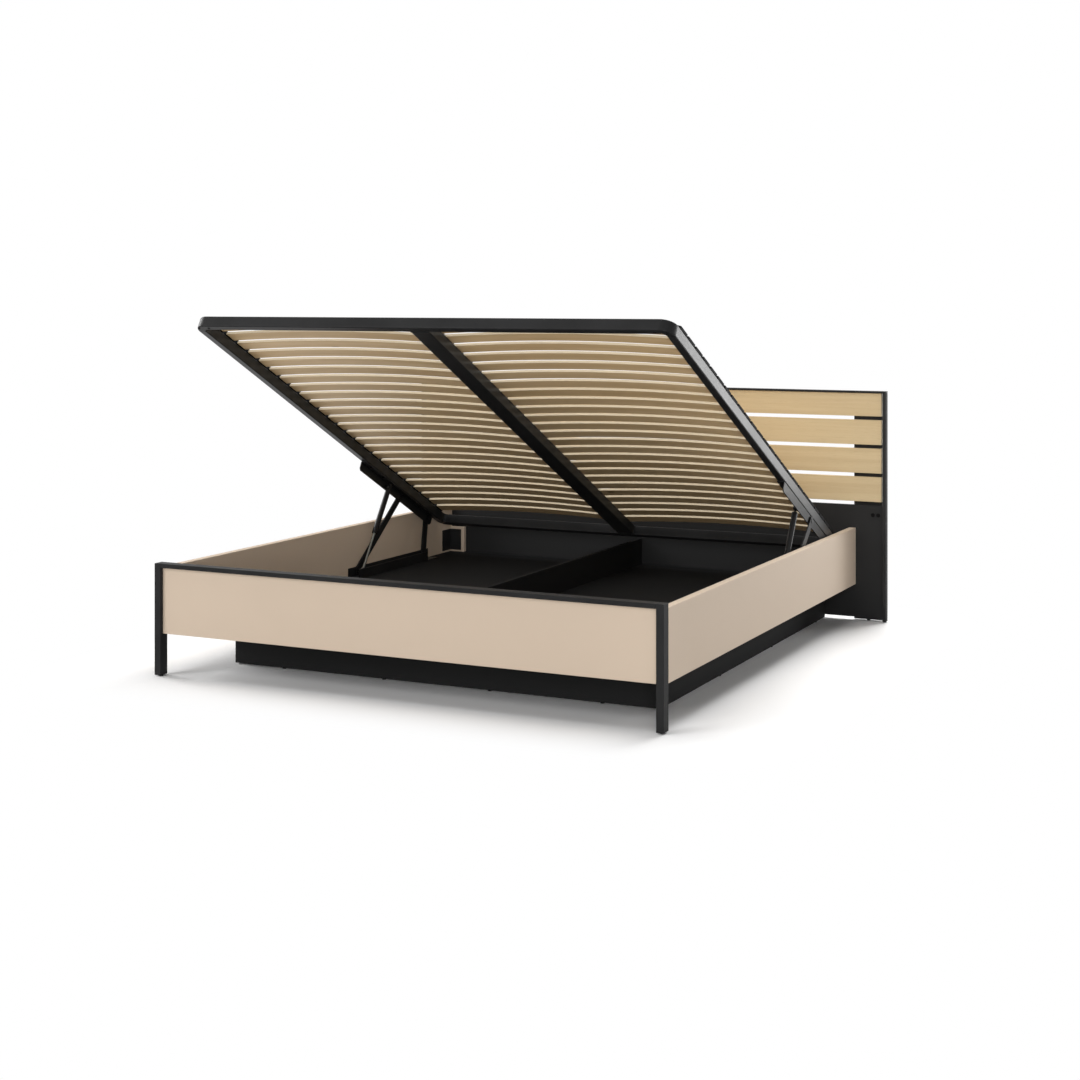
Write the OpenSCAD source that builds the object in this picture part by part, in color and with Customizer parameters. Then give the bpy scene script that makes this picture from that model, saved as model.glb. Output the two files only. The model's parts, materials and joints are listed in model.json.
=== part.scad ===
// Lift-up storage bed frame, drawn with its slatted base raised.
// Millimetres. X is the width, +Y runs to the headboard, +Z is up.
// The origin is on the floor, under the middle of the bed.

/* [Mattress and base] */
// Width of the mattress the bed takes, which is the width of the lifting base
mattress_w = 1800; // [1400:100:2000]
// Length of the mattress, which is the length of the lifting base
mattress_l = 2000; // [1900:50:2200]
// Gap between the lifting base and each side panel
side_gap = 12; // [10:1:14]
// Gap between the lowered base and the foot frame
foot_gap = 20; // [12:1:40]
// Gap between the lowered base and the headboard
head_gap = 18; // [15:1:25]
// Thickness of a side panel
side_t = 28; // [22:1:32]
// Height of the side panels' lower edge above the floor
side_bottom = 146; // [130:2:150]
// Distance from the top of the foot frame down to the side panels' upper edge
side_drop = 15; // [4:1:22]

/* [Foot frame] */
// Width of a foot leg, across the bed
leg_w = 25; // [20:1:40]
// Depth of a foot leg and of the rail over the foot panel
leg_d = 40; // [36:1:60]
// Height of the foot frame above the floor
foot_h = 388; // [384:2:420]
// Height of the rail over the foot panel
foot_rail_h = 15; // [12:1:25]
// Distance from the front of the foot frame back to the foot panel
panel_recess = 14; // [8:1:18]
// Thickness of the foot panel
board_t = 18; // [16:1:18]
// Height of the glides under legs, boards and plinth
glide_h = 4; // [3:1:8]

/* [Plinth and storage] */
// Distance from the front of the bed back to the plinth
plinth_setback = 292; // [200:4:400]
// Distance from a side panel's outer face in to the plinth
plinth_inset = 128; // [80:4:200]
// Thickness of the storage floor, the divider and the plinth boards
store_t = 16; // [12:1:18]
// Height of the divider above the storage floor
divider_h = 108; // [60:2:112]

/* [Headboard] */
// Height of the headboard above the floor
head_h = 925; // [880:1:1100]
// Overhang of the headboard past each side of the bed
head_overhang = 125; // [100:5:200]
// Height of the lower panel's upper edge above the floor
lower_top = 465; // [440:5:500]
// Gap under the lower panel
lower_lift = 14; // [10:1:30]
// Gap between the planks, and under the lowest one
plank_gap = 15; // [8:1:25]
// Thickness of a plank and of the lower panel
plank_t = 18; // [16:1:24]
// Width of an upright behind the planks
upright_w = 115; // [80:5:160]
// Thickness of an upright
upright_t = 16; // [12:1:22]
// Width of the headboard's edge posts
trim_w = 14; // [10:1:20]
// Height of the headboard's top rail
head_rail_h = 8.5; // [6:0.5:14]
// How much the top plank is cut down to fit under the top rail
top_trim = 6.5; // [0:0.5:10]
// Distance that posts and top rail stand in front of the planks
trim_proud = 10; // [4:1:12]

/* [Lifting base] */
// Angle of the raised base, in degrees
lift_angle = 26.8; // [26.8:0.1:27]
// Height of the lifting base's tubes
tube_h = 40; // [36:1:42]
// Width of the lifting base's outer tubes
tube_w = 30; // [28:1:36]
// Width of the centre rail
centre_w = 70; // [44:1:80]
// Wall of the tubes
tube_wall = 2; // [1.5:0.1:3]
// Radius of the rounded edges along the tubes
tube_edge_r = 4; // [3:0.5:6]
// Outer radius of the base's rounded corners
corner_r = 45; // [40:1:60]

/* [Slats] */
// Distance from one slat to the next
slat_pitch = 75; // [70:1:90]
// Distance from the base's head edge to the middle of the first slat
slat_first = 95.5; // [92:0.5:110]
// Width of a slat
slat_w = 53; // [45:1:55]
// Thickness of a slat
slat_t = 8; // [7:0.5:9]
// Rise of a slat's middle over its ends
slat_bow = 16; // [12:1:20]
// Length of a slat holder along the rail
holder_l = 62; // [58:1:64]
// Height of a slat holder
holder_h = 15; // [14:0.5:18]

/* [Lift mechanism] */
// Depth of the hanging flange of the upper bracket
bracket_drop = 38; // [34:1:40]
// Thickness of bracket and channel steel
steel_t = 4; // [3:0.5:4]
// Thickness of a link
link_t = 5; // [4:0.5:5]
// Half the width of a front link
front_link_r = 16.5; // [12:0.5:18]
// Half the width of a rear link
rear_link_r = 20; // [13:1:20]
// Radius of the link pins
pin_r = 6; // [5:0.5:7]
// Diameter of a gas spring's cylinder
gas_d = 22; // [20:1:22]
// Diameter of a gas spring's rod
rod_d = 10; // [8:1:12]
// Running clearance of pins, rods and pistons, on the radius
run_gap = 0.05; // [0.03:0.01:0.08]

/* [Hidden] */
$fn = 96;

// Main outline. Y is counted from the front of the foot frame here.
base_w = mattress_w + 2 * (side_gap + side_t);
base_l = mattress_l + leg_d + foot_gap + head_gap;
half_w = base_w / 2;
side_top = foot_h - side_drop;
side_in = half_w - side_t;
inner_y = leg_d;
floor_z = side_bottom + 4;
floor_top = floor_z + store_t;
divider_top = floor_top + divider_h;
plinth_x = half_w - plinth_inset;
post_x = half_w + head_overhang;
post_y = base_l - trim_proud;
post_d = trim_proud + plank_t + 2;
upright_y = base_l + plank_t;
overall_l = upright_y + upright_t;
plank_x = post_x - trim_w - 6;
head_rail_z = head_h - head_rail_h;
plank_pitch = (head_rail_z + top_trim - lower_top) / 4;
plank_h = plank_pitch - plank_gap;

// The raised base: its head edge, upper face, in the raised pose.
raised_forward = 114.3;
raised_y = base_l - raised_forward;
raised_z = 333.7;
// The same edge when the base is down.
lowered_z = 327.4;
half_m = mattress_w / 2;
rail_in = half_m - tube_w;
slat_end_least = 92;
slat_count = floor((mattress_l - slat_first - slat_end_least) / slat_pitch) + 1;
slat_out = half_m - 16;
slat_in = 5;
slat_chord = slat_out - slat_in;
slat_base = 2;
slat_r = (slat_chord * slat_chord / 4 + slat_bow * slat_bow) / (2 * slat_bow);
slat_half_a = asin(slat_chord / 2 / slat_r);
holder_out = half_m - 4;
holder_in = half_m - 32;
holder_centre_w = 17;
// Height of the outer holders' low edge, and how far their slope reaches in.
holder_low = 8;
holder_slope = 14;

// Lower pivots: distance forward of the headboard's face, height over the tray.
front_base_y = 816;
front_base_h = 28;
rear_base_y = 278;
rear_base_h = 24;
front_base = [base_l - front_base_y, floor_top + front_base_h];
rear_base = [base_l - rear_base_y, floor_top + rear_base_h];
// Upper pivots: distance from the base's head edge, drop under the tubes.
front_top_s = 382.65;
rear_top_s = 130.2;
gas_top_s = 518;
front_drop = 20;
rear_drop = 18;
front_top = [front_top_s, -tube_h - front_drop];
rear_top = [rear_top_s, -tube_h - rear_drop];
gas_top = [gas_top_s, -tube_h - front_drop];
// Layers across the mechanism, as distances from the bed's middle.
wall_x = side_in - steel_t;
link_x = half_m + 1;
flange_x = half_m - 1 - steel_t;
gas_x = flange_x - 15;
eye_t = 8;
channel_w = 54;
channel_floor_t = 3;
channel_past_front = 61;
channel_past_rear = 50;
// How much shorter the channel's inner wall is, at its rear end.
channel_wall_short = 90;
channel_y0 = front_base[0] - channel_past_front;
channel_y1 = rear_base[0] + channel_past_rear;
channel_top = floor_top + 39;
bracket_past_rear = 38;
bracket_past_gas = 225;
bracket_foot_cut = 8;
bracket_head_cut = 10;
bracket_s0 = rear_top_s - bracket_past_rear;
bracket_s1 = gas_top_s + bracket_past_gas;
bolt_inset = 60;
bolt_past_middle = 73;
bolt_past_gas = 58;
bolt_places_s = [bracket_s0 + bolt_inset, (rear_top_s + front_top_s) / 2 + bolt_past_middle,
    gas_top_s + bolt_past_gas, bracket_s1 - bolt_inset];
bolt_r = 4;
bolt_x = half_m - tube_w / 2 - 2;
// Play of a slat's end in its holder.
holder_play = 0.3;
// How much wider a link's eyes are than its bar, on the radius.
eye_swell = 1;
gas_body = 218;
gas_pin_r = 4;
gas_eye_r = 9.5;
rod_inside = 30;
gas_wall = 2;

// Where a point of the base stands in the raised pose: [y, z].
function raised(p) = [
    raised_y - p[0] * cos(lift_angle) + p[1] * sin(lift_angle),
    raised_z + p[0] * sin(lift_angle) + p[1] * cos(lift_angle)
];
function span(a, b) = norm([b[0] - a[0], b[1] - a[1]]);
function slope(a, b) = atan2(b[1] - a[1], b[0] - a[0]);

black_steel = [0.16, 0.16, 0.17];
black_board = [0.13, 0.13, 0.14];
beige = [0.80, 0.73, 0.65];
oak = [0.80, 0.70, 0.53];
beech = [0.86, 0.76, 0.60];
plastic = [0.08, 0.08, 0.08];
chrome = [0.75, 0.76, 0.78];

// Moves a piece drawn from the foot frame's front onto the bed's origin.
module placed() { translate([0, -overall_l / 2, 0]) children(); }
// Draws a right-hand piece on the left too, or instead.
module on_side(side) { if (side == "left") mirror([1, 0, 0]) children(); else children(); }
module both_sides() { on_side("left") children(); on_side("right") children(); }
// Draws in the raised base's own frame: y = 0 at the head edge, -y to the foot.
module raised_base() {
    placed() translate([0, raised_y, raised_z]) rotate([-lift_angle, 0, 0]) children();
}
// Draws in a vertical plane across the bed: 2D x is bed Y, 2D y is bed Z,
// and the piece is thick from x0 to x1.
module in_side_plane(x0, x1) {
    translate([x0, 0, 0]) rotate([90, 0, 90]) linear_extrude(x1 - x0) children();
}
// A flat link with round ends, and a bore at each end that is asked for.
module link_outline(a, b, r, bore_a, bore_b) {
    difference() {
        union() {
            translate(a) circle(r);
            translate(b) circle(r);
            translate(a) rotate(slope(a, b)) translate([0, -r + eye_swell])
                square([span(a, b), 2 * (r - eye_swell)]);
        }
        if (bore_a) translate(a) circle(pin_r + run_gap);
        if (bore_b) translate(b) circle(pin_r + run_gap);
    }
}
module rounded_rect(w, l, r) {
    union() {
        translate([-w / 2 + r, 0]) square([w - 2 * r, l]);
        translate([-w / 2, r]) square([w, l - 2 * r]);
        for (x = [-w / 2 + r, w / 2 - r]) for (y = [r, l - r]) translate([x, y]) circle(r);
    }
}

module foot_leg(side) {
    color(black_steel) placed() on_side(side)
        translate([half_w - leg_w, 0, glide_h]) cube([leg_w, leg_d, foot_h - glide_h]);
}
module foot_top_rail() {
    color(black_steel) placed()
        translate([-half_w + leg_w, 0, foot_h - foot_rail_h])
            cube([base_w - 2 * leg_w, leg_d, foot_rail_h]);
}
module foot_panel() {
    color(beige) placed()
        translate([-half_w + leg_w, panel_recess, side_bottom])
            cube([base_w - 2 * leg_w, board_t, foot_h - foot_rail_h - side_bottom]);
}
module side_panel(side) {
    color(beige) placed() on_side(side)
        translate([side_in, leg_d, side_bottom])
            cube([side_t, base_l - leg_d, side_top - side_bottom]);
}
module storage_floor(side) {
    color(black_board) placed() on_side(side)
        translate([store_t / 2, inner_y, floor_z])
            cube([side_in - store_t / 2, base_l - inner_y, store_t]);
}
module storage_divider() {
    color(black_board) placed()
        translate([-store_t / 2, inner_y, floor_z])
            cube([store_t, base_l - inner_y, divider_top - floor_z]);
}
module plinth_front() {
    color(black_board) placed()
        translate([-plinth_x, plinth_setback, glide_h])
            cube([2 * plinth_x, store_t, floor_z - glide_h]);
}
module plinth_side(side) {
    color(black_board) placed() on_side(side)
        translate([plinth_x - store_t, plinth_setback + store_t, glide_h])
            cube([store_t, base_l - plinth_setback - store_t, floor_z - glide_h]);
}
module plinth_centre() {
    color(black_board) placed()
        translate([-store_t / 2, plinth_setback + store_t, glide_h])
            cube([store_t, base_l - plinth_setback - store_t, floor_z - glide_h]);
}
module headboard_post(side) {
    color(black_steel) placed() on_side(side)
        translate([post_x - trim_w, post_y, glide_h])
            cube([trim_w, post_d, head_rail_z - glide_h]);
}
module headboard_top_rail() {
    color(black_steel) placed()
        translate([-post_x, post_y, head_rail_z])
            cube([2 * post_x, post_d, head_rail_h]);
}
module headboard_upright(side) {
    color(black_board) placed() on_side(side)
        translate([post_x - trim_w - 8 - upright_w, upright_y, glide_h])
            cube([upright_w, upright_t, head_rail_z - 2 - glide_h]);
}
module headboard_lower_panel() {
    color(black_board) placed()
        translate([-post_x + trim_w, base_l, lower_lift])
            cube([2 * (post_x - trim_w), plank_t, lower_top - lower_lift]);
}
// Plank 1 is the top one.
module headboard_plank(i) {
    color(oak) placed()
        translate([-plank_x, base_l, lower_top + (4 - i) * plank_pitch + plank_gap])
            cube([2 * plank_x, plank_t, plank_h - (i == 1 ? top_trim : 0)]);
}
module headboard_cover_caps() {
    color(plastic) placed() both_sides()
        for (x = [70, 92])
            translate([half_w + x, base_l, lower_top - 38])
                rotate([90, 0, 0]) cylinder(h = 2, r = 8);
}
// Steel angles in the corners: sheet thickness, heights, arms and height over the tray.
angle_t = 3;
return_w = 70;
return_h = 110;
head_angle_h = 92;
head_angle_z = floor_top + 8;
arm_on_return = 55;
arm_on_panel = 75;
foot_angle_h = 100;
foot_angle_z = floor_top + 20;
foot_arm = 50;
// Beige block that fastens a side panel to the headboard.
module corner_return(side) {
    color(beige) placed() on_side(side)
        translate([side_in - return_w, base_l - board_t, floor_top])
            cube([return_w, board_t, return_h]);
}
// An upright angle in a corner of the tray, with its arms towards -x and +y.
module corner_angle(arm_x, arm_y, h) {
    translate([-arm_x, 0, 0]) cube([arm_x, angle_t, h]);
    translate([-angle_t, 0, 0]) cube([angle_t, arm_y, h]);
}
module corner_bracket(side) {
    color(black_steel) placed() on_side(side)
        translate([side_in, base_l - board_t, head_angle_z]) mirror([0, 1, 0])
            corner_angle(arm_on_return, arm_on_panel, head_angle_h);
}
module foot_corner_brackets() {
    color(black_steel) placed() both_sides()
        translate([side_in, leg_d, foot_angle_z])
            corner_angle(foot_arm, foot_arm, foot_angle_h);
}
module glide(x, y, r) { translate([x, y, 0]) cylinder(h = glide_h, r = r); }
module glides() {
    color(plastic) placed() {
        both_sides() {
            glide(half_w - leg_w / 2, leg_d / 2, 9);
            glide(post_x - trim_w / 2, post_y + post_d / 2, 6);
            glide(post_x - trim_w - 8 - upright_w / 2, upright_y + upright_t / 2, 7);
            for (k = [1, 3]) glide(plinth_x * k / 4, plinth_setback + store_t / 2, 7);
            for (k = [1:3])
                glide(plinth_x - store_t / 2,
                      plinth_setback + (base_l - plinth_setback) * k / 3.2, 7);
        }
        for (k = [1:3]) glide(0, plinth_setback + (base_l - plinth_setback) * k / 3.2, 7);
    }
}
// Channel on the side panel that carries the lower pivots.
module base_channel(side) {
    color(black_steel) placed() on_side(side)
        difference() {
            in_along(channel_y0, channel_y1)
                difference() {
                    translate([side_in - channel_w, floor_top])
                        square([channel_w, channel_top - floor_top]);
                    translate([side_in - channel_w + steel_t, floor_top + channel_floor_t])
                        square([channel_w - 2 * steel_t, channel_top]);
                }
            translate([side_in - channel_w - 1, channel_y1 - channel_wall_short,
                       floor_top + channel_floor_t])
                cube([steel_t + 2, channel_wall_short + 1, channel_top]);
        }
}
// Extrudes an X-Z outline along the bed, from y0 to y1.
module in_along(y0, y1) {
    translate([0, y1, 0]) rotate([90, 0, 0]) linear_extrude(y1 - y0) children();
}
// A pin along X from x0 to x1 at [y, z].
module pin(at, r, x0, x1) { in_side_plane(x0, x1) translate(at) circle(r); }
module base_pins(side) {
    color(chrome) placed() on_side(side) {
        pin(rear_base, pin_r, link_x - 5, wall_x);
        pin(rear_base, pin_r + 3, link_x - 4.5, link_x - 0.5);
        pin(front_base, pin_r, gas_x + eye_t / 2 + 2, wall_x);
        pin(front_base, pin_r + 3, link_x - 4, link_x - 0.5);
    }
}
// Angles with a rubber pad that the lowered base rests on.
rest_top = lowered_z - tube_h - 0.4;
rest_y = leg_d + 110;
rest_l = 100;
rest_w = 45;
rest_h = 50;
pad_t = 3;
pad_w = 30;
pad_margin = 5;
module rest_brackets() {
    color(black_steel) placed() both_sides() translate([side_in, 0, rest_top - pad_t])
        in_along(rest_y, rest_y + rest_l) {
            translate([-rest_w, -steel_t]) square([rest_w, steel_t]);
            translate([-steel_t, -rest_h]) square([steel_t, rest_h]);
        }
}
module rest_pads() {
    color(plastic) placed() both_sides()
        translate([half_m - pad_w, rest_y + pad_margin, rest_top - pad_t])
            cube([pad_w, rest_l - 2 * pad_margin, pad_t]);
}

// Cross-section of a tube w wide, lying under the upper face, from 2D x = 0 to w.
module tube_section(w) {
    difference() {
        translate([w / 2, -tube_h]) rounded_rect(w, tube_h, tube_edge_r);
        translate([w / 2, -tube_h + tube_wall])
            rounded_rect(w - 2 * tube_wall, tube_h - 2 * tube_wall, tube_edge_r - tube_wall);
    }
}
// One end of the base: a straight tube with a bend at both sides, drawn with its
// outer face on y = 0 and its bends towards -y.
module end_tube() {
    translate([half_m - corner_r, 0, 0]) rotate([90, 0, -90])
        linear_extrude(mattress_w - 2 * corner_r) tube_section(tube_w);
    both_sides()
        translate([half_m - corner_r, -corner_r, 0])
            rotate_extrude(angle = 90) translate([corner_r - tube_w, 0]) tube_section(tube_w);
}
module lift_head_tube() { color(black_steel) raised_base() end_tube(); }
module lift_foot_tube() {
    color(black_steel) raised_base()
        translate([0, -mattress_l, 0]) mirror([0, 1, 0]) end_tube();
}
// A straight tube along the bed, from x0 to x0 + w, between two distances.
module long_tube(x0, w, s0, s1) {
    translate([x0, -s0, 0]) rotate([90, 0, 0]) linear_extrude(s1 - s0) tube_section(w);
}
module bolt_places(r, z0, z1) {
    for (s = bolt_places_s)
        translate([bolt_x, -s, z0]) cylinder(h = z1 - z0, r = r);
}
module lift_rail(side) {
    color(black_steel) raised_base() on_side(side)
        difference() {
            long_tube(rail_in, tube_w, corner_r, mattress_l - corner_r);
            bolt_places(bolt_r + 0.2, -tube_h - 1, -tube_h / 2);
        }
}
module lift_centre_rail() {
    color(black_steel) raised_base()
        long_tube(-centre_w / 2, centre_w, tube_w, mattress_l - tube_w);
}
// One bowed slat of the right column: an arc between its two ends.
module slat() {
    translate([(slat_in + slat_out) / 2, slat_w / 2, slat_base + slat_bow - slat_r])
        rotate([90, 0, 0]) rotate([0, 0, 90 - slat_half_a])
            rotate_extrude(angle = 2 * slat_half_a, $fn = 1440)
                translate([slat_r, 0]) square([slat_t, slat_w]);
}
module slats(side) {
    color(beech) raised_base() on_side(side)
        for (k = [0:slat_count - 1])
            translate([0, -slat_first - k * slat_pitch, 0]) slat();
}
// A holder from x0 to x1, with a pocket that leans with the end of the slat. Its top
// slopes down to the height low over the last stretch, slope long.
module holder(x0, x1, tip, lean, slope, low) {
    reach = x1 - x0 + slat_w;
    difference() {
        in_along(-holder_l / 2, holder_l / 2)
            polygon(concat([[x0, 0], [x1, 0]], slope > 0 ? [[x1, low]] : [],
                           [[x1 - slope, holder_h], [x0, holder_h]]));
        translate([tip, -slat_w / 2 - holder_play, slat_base - holder_play]) rotate([0, lean, 0])
            translate([lean > 0 ? -reach : 0, 0, 0])
                cube([reach, slat_w + 2 * holder_play, slat_t + 2 * holder_play]);
    }
}
module outer_holders(side) {
    color(plastic) raised_base() on_side(side)
        for (k = [0:slat_count - 1])
            translate([0, -slat_first - k * slat_pitch, 0])
                holder(holder_in, holder_out, slat_out + 2 * holder_play, slat_half_a,
                       holder_slope, holder_low);
}
module slat_holders_centre() {
    color(plastic) raised_base() both_sides()
        for (k = [0:slat_count - 1])
            translate([0, -slat_first - k * slat_pitch, 0])
                holder(1, 1 + holder_centre_w, slat_in - 2 * holder_play, -slat_half_a,
                       0, holder_h);
}
// Section of the bent angle under a side rail: a flat arm under the tube and a
// hanging flange, with a rounded bend between them.
module bent_section() {
    arm = flange_x - rail_in;
    translate([rail_in, -tube_h]) {
        translate([0, -steel_t]) square([arm, steel_t]);
        translate([arm, -bracket_drop]) square([steel_t, bracket_drop - steel_t]);
        intersection() {
            translate([arm, -steel_t]) circle(steel_t);
            translate([arm, -steel_t]) square(steel_t);
        }
    }
}
// The angle under a side rail; its hanging flange carries the upper pivots.
module upper_bracket(side) {
    lo = -tube_h - bracket_drop;
    color(black_steel) raised_base() on_side(side)
        difference() {
            intersection() {
                in_along(-bracket_s1, -bracket_s0) bent_section();
                in_side_plane(rail_in - 1, flange_x + steel_t + 1)
                    polygon([[-bracket_s0 + 1, 0], [-bracket_s1 - 1, 0],
                        [-bracket_s1 - 1, lo + bracket_foot_cut + 1],
                        [-bracket_s1 + bracket_foot_cut + 1, lo - 1],
                        [-bracket_s0 - bracket_head_cut - 1, lo - 1],
                        [-bracket_s0 + 1, lo + bracket_head_cut + 1]]);
            }
            in_side_plane(flange_x - 1, flange_x + steel_t + 1) {
                translate([-front_top[0], front_top[1]]) circle(pin_r);
                translate([-gas_top[0], gas_top[1]]) circle(gas_pin_r);
            }
            bolt_places(bolt_r + 0.2, -tube_h - steel_t - 1, -tube_h + 1);
        }
}
module bracket_bolts() {
    color(chrome) raised_base() both_sides() {
        bolt_places(bolt_r, -tube_h - steel_t, -tube_h / 2 - 2);
        for (s = bolt_places_s)
            translate([bolt_x, -s, -tube_h - steel_t - 5])
                linear_extrude(5) circle(7, $fn = 6);
    }
}
module frame_pins(side) {
    color(chrome) raised_base() on_side(side) {
        pin([-front_top[0], front_top[1]], pin_r, flange_x - 3, link_x + link_t + 1.6);
        pin([-front_top[0], front_top[1]], pin_r + 4, flange_x - 3.5, flange_x);
        pin([-front_top[0], front_top[1]], pin_r + 3, link_x + link_t + 0.3, link_x + link_t + 1.8);
        pin([-rear_top[0], rear_top[1]], pin_r + 4, flange_x - 3.5, flange_x);
        pin([-gas_top[0], gas_top[1]], gas_pin_r, gas_x - eye_t / 2 - 4, flange_x + steel_t);
        pin([-gas_top[0], gas_top[1]], 7, gas_x - eye_t / 2 - 4, gas_x - eye_t / 2 - 0.5);
        pin([-gas_top[0], gas_top[1]], 7, gas_x + eye_t / 2 + 0.5, flange_x);
    }
}
module front_link(side) {
    color(black_steel) placed() on_side(side) in_side_plane(link_x, link_x + link_t)
        link_outline(front_base, raised(front_top), front_link_r, true, true);
}
// The rear link's upper end carries its own rivet and turns beside the bracket.
module rear_link(side) {
    color(black_steel) placed() on_side(side) {
        in_side_plane(link_x, link_x + link_t)
            link_outline(rear_base, raised(rear_top), rear_link_r, true, false);
        pin(raised(rear_top), pin_r + 3, link_x + link_t, link_x + link_t + 1.5);
    }
}
gas_len = span(raised(gas_top), front_base);
gas_dir = slope(raised(gas_top), front_base);
// Draws along a gas spring: +Z runs from its upper eye down to its lower eye.
module along_gas(side) {
    placed() on_side(side)
        translate([gas_x, raised(gas_top)[0], raised(gas_top)[1]])
            rotate([gas_dir, 0, 0]) rotate([-90, 0, 0]) children();
}
module eye() {
    rotate([0, 90, 0]) translate([0, 0, -eye_t / 2]) cylinder(h = eye_t, r = gas_eye_r);
}
module gas_cylinder(side) {
    color(black_steel) along_gas(side)
        difference() {
            union() {
                eye();
                translate([0, 0, 4]) cylinder(h = 18, r = 3.5);
                translate([0, 0, 20]) cylinder(h = gas_body - 20, r = gas_d / 2);
            }
            rotate([0, 90, 0]) translate([0, 0, -eye_t])
                cylinder(h = 2 * eye_t, r = gas_pin_r + run_gap);
            translate([0, 0, 26]) cylinder(h = gas_body - 26 - 8, r = gas_d / 2 - gas_wall);
            translate([0, 0, 26]) cylinder(h = gas_body, r = rod_d / 2 + run_gap);
        }
}
module gas_rod(side) {
    color(chrome) along_gas(side) {
        translate([0, 0, gas_len]) eye();
        translate([0, 0, gas_len - 26]) cylinder(h = 20, r = rod_d / 2 + 0.5);
        translate([0, 0, gas_body - rod_inside])
            cylinder(h = gas_len - gas_body + rod_inside - 7, r = rod_d / 2);
        translate([0, 0, gas_body - rod_inside])
            cylinder(h = 12, r = gas_d / 2 - gas_wall - run_gap);
    }
}

foot_leg("left");  // foot_leg_left
foot_leg("right");  // foot_leg_right
foot_top_rail();
foot_panel();
side_panel("left");  // side_panel_left
side_panel("right");  // side_panel_right
storage_floor("left");  // storage_floor_left
storage_floor("right");  // storage_floor_right
storage_divider();
plinth_front();
plinth_side("left");  // plinth_side_left
plinth_side("right");  // plinth_side_right
plinth_centre();
headboard_post("left");  // headboard_post_left
headboard_post("right");  // headboard_post_right
headboard_top_rail();
headboard_upright("left");  // headboard_upright_left
headboard_upright("right");  // headboard_upright_right
headboard_lower_panel();
headboard_plank(1);  // headboard_plank_1
headboard_plank(2);  // headboard_plank_2
headboard_plank(3);  // headboard_plank_3
headboard_plank(4);  // headboard_plank_4
headboard_cover_caps();
corner_return("left");  // corner_return_left
corner_return("right");  // corner_return_right
corner_bracket("left");  // corner_bracket_left
corner_bracket("right");  // corner_bracket_right
foot_corner_brackets();
glides();
base_channel("left");  // base_channel_left
base_channel("right");  // base_channel_right
base_pins("left");  // base_pins_left
base_pins("right");  // base_pins_right
rest_brackets();
rest_pads();
lift_foot_tube();
lift_head_tube();
lift_rail("left");  // lift_rail_left
lift_rail("right");  // lift_rail_right
lift_centre_rail();
slats("left");  // slats_left
slats("right");  // slats_right
outer_holders("left");  // slat_holders_left
outer_holders("right");  // slat_holders_right
slat_holders_centre();
upper_bracket("left");  // upper_bracket_left
upper_bracket("right");  // upper_bracket_right
bracket_bolts();
frame_pins("left");  // frame_pins_left
frame_pins("right");  // frame_pins_right
front_link("left");  // front_link_left
front_link("right");  // front_link_right
rear_link("left");  // rear_link_left
rear_link("right");  // rear_link_right
gas_cylinder("left");  // gas_cylinder_left
gas_cylinder("right");  // gas_cylinder_right
gas_rod("left");  // gas_rod_left
gas_rod("right");  // gas_rod_right
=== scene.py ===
"""Looks of a lift-up storage bed with its slatted base raised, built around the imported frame.

Lengths are in metres and angles in radians unless a name says otherwise. +X runs across the
bed, +Y towards the headboard and +Z up, as in the frame.
"""

from __future__ import annotations

import json
import logging
import math
from dataclasses import dataclass
from enum import Enum
from functools import cache
from typing import Callable, Iterable, Sequence

import bmesh
import bpy
import numpy as np
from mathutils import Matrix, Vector


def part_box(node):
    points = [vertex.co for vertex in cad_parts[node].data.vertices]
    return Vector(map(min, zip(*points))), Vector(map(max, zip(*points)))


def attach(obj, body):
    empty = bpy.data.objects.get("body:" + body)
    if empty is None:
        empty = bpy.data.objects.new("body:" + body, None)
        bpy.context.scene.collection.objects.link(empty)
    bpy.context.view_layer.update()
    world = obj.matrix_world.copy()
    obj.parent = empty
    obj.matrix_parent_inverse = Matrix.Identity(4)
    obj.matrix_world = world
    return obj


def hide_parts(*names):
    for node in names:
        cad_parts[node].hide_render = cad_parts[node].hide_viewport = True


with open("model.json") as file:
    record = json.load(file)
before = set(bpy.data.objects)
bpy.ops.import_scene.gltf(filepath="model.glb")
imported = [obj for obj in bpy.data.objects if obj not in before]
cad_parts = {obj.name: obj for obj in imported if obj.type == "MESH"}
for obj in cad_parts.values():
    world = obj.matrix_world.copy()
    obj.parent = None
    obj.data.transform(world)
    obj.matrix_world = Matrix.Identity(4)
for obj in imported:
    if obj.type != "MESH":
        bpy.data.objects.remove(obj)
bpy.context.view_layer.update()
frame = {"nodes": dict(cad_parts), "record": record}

LOG = logging.getLogger("bed")
Array = np.ndarray
Pair = tuple[float, float]
Triple = tuple[float, float, float]
Colour = Triple

WHITE: Colour = (1.0, 1.0, 1.0)
SHARP = math.radians(35.0)  # Edges that turn more are eased, and are shaded sharp.
FLAT = math.radians(0.6)  # A CAD mesh's triangles that turn less are one face.
DOUBLE = 1e-6  # Points closer than this are one.
CAD_DOUBLE = 2e-6  # The same for a CAD mesh's loose triangles.
NO_LENGTH = 1e-7  # Edges shorter than this go.
FLAT_WEIGHT = 80  # How strongly a wide face sways the normals at its corners.
BOARD_STEPS = 3  # Steps across a board's eased edge.
STEEP = 0.9  # A unit direction whose Z is more than this is too steep to cross with Z.


class Side(Enum):
    """The two sides of the bed, as the sign of X."""

    LEFT = -1
    RIGHT = 1

    @property
    def word(self) -> str:
        """The side's name, as the nodes use it."""
        return self.name.lower()


class Slot(Enum):
    """Material slots of the record."""

    BLACK_STEEL = "black_steel"
    BEIGE_BOARD = "beige_board"
    BLACK_BOARD = "black_board"
    OAK_PLANK = "oak_plank"
    BLACK_PLASTIC = "black_plastic"
    SLAT_WOOD = "slat_wood"
    BRIGHT_STEEL = "bright_steel"


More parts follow.
